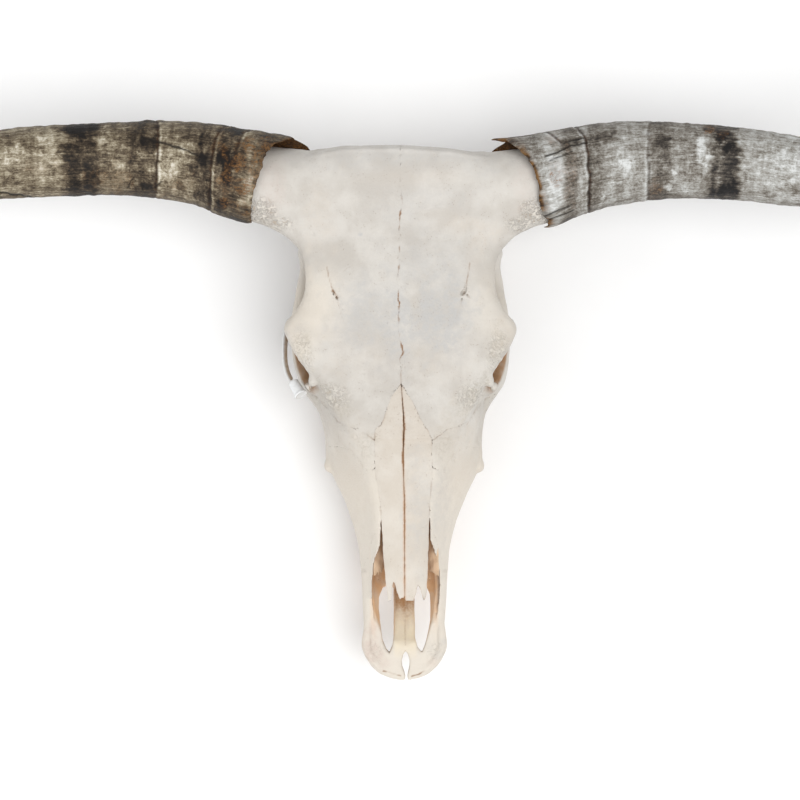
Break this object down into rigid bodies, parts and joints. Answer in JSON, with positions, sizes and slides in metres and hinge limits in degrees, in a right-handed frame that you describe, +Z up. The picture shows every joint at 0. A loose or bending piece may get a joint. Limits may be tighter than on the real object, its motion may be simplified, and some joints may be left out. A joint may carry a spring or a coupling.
{
  "type": "longhorn steer skull",
  "caption": "Bleached longhorn steer skull without its lower jaw, face up, with long horns that sweep out and curve up, an open nose and a plastic strip at one eye socket.",
  "frame": {"origin": "middle of the object's box, on the floor", "axes": "+X along the horns to the viewer's right of the face, +Y towards the poll, +Z up out of the face"},
  "size_m": [1.53, 0.5858, 0.3577],
  "materials": {
    "bone": "dry bleached bone, matt, light grey cream with brown in its sutures and pits",
    "nasal_bone": "dry bleached bone, matt, a little creamier",
    "thin_bone": "thin stained bone inside the nose",
    "horn": "weathered horn, ringed and mottled grey, brown and cream",
    "plastic": "white plastic strip and tube stub"
  },
  "bodies": {
    "root": {"cranium": "bone", "frontal_left": "bone", "frontal_right": "bone", "horn_left": "horn", "horn_right": "horn", "lacrimal_left": "bone", "lacrimal_right": "bone", "maxilla_left": "bone", "maxilla_right": "bone", "nasal_left": "nasal_bone", "nasal_right": "nasal_bone", "premaxilla_left": "bone", "premaxilla_right": "bone", "socket_strip": "plastic", "socket_stub": "plastic", "turbinate_left": "thin_bone", "turbinate_right": "thin_bone", "zygomatic_left": "bone", "zygomatic_right": "bone"}
  },
  "joints": []
}
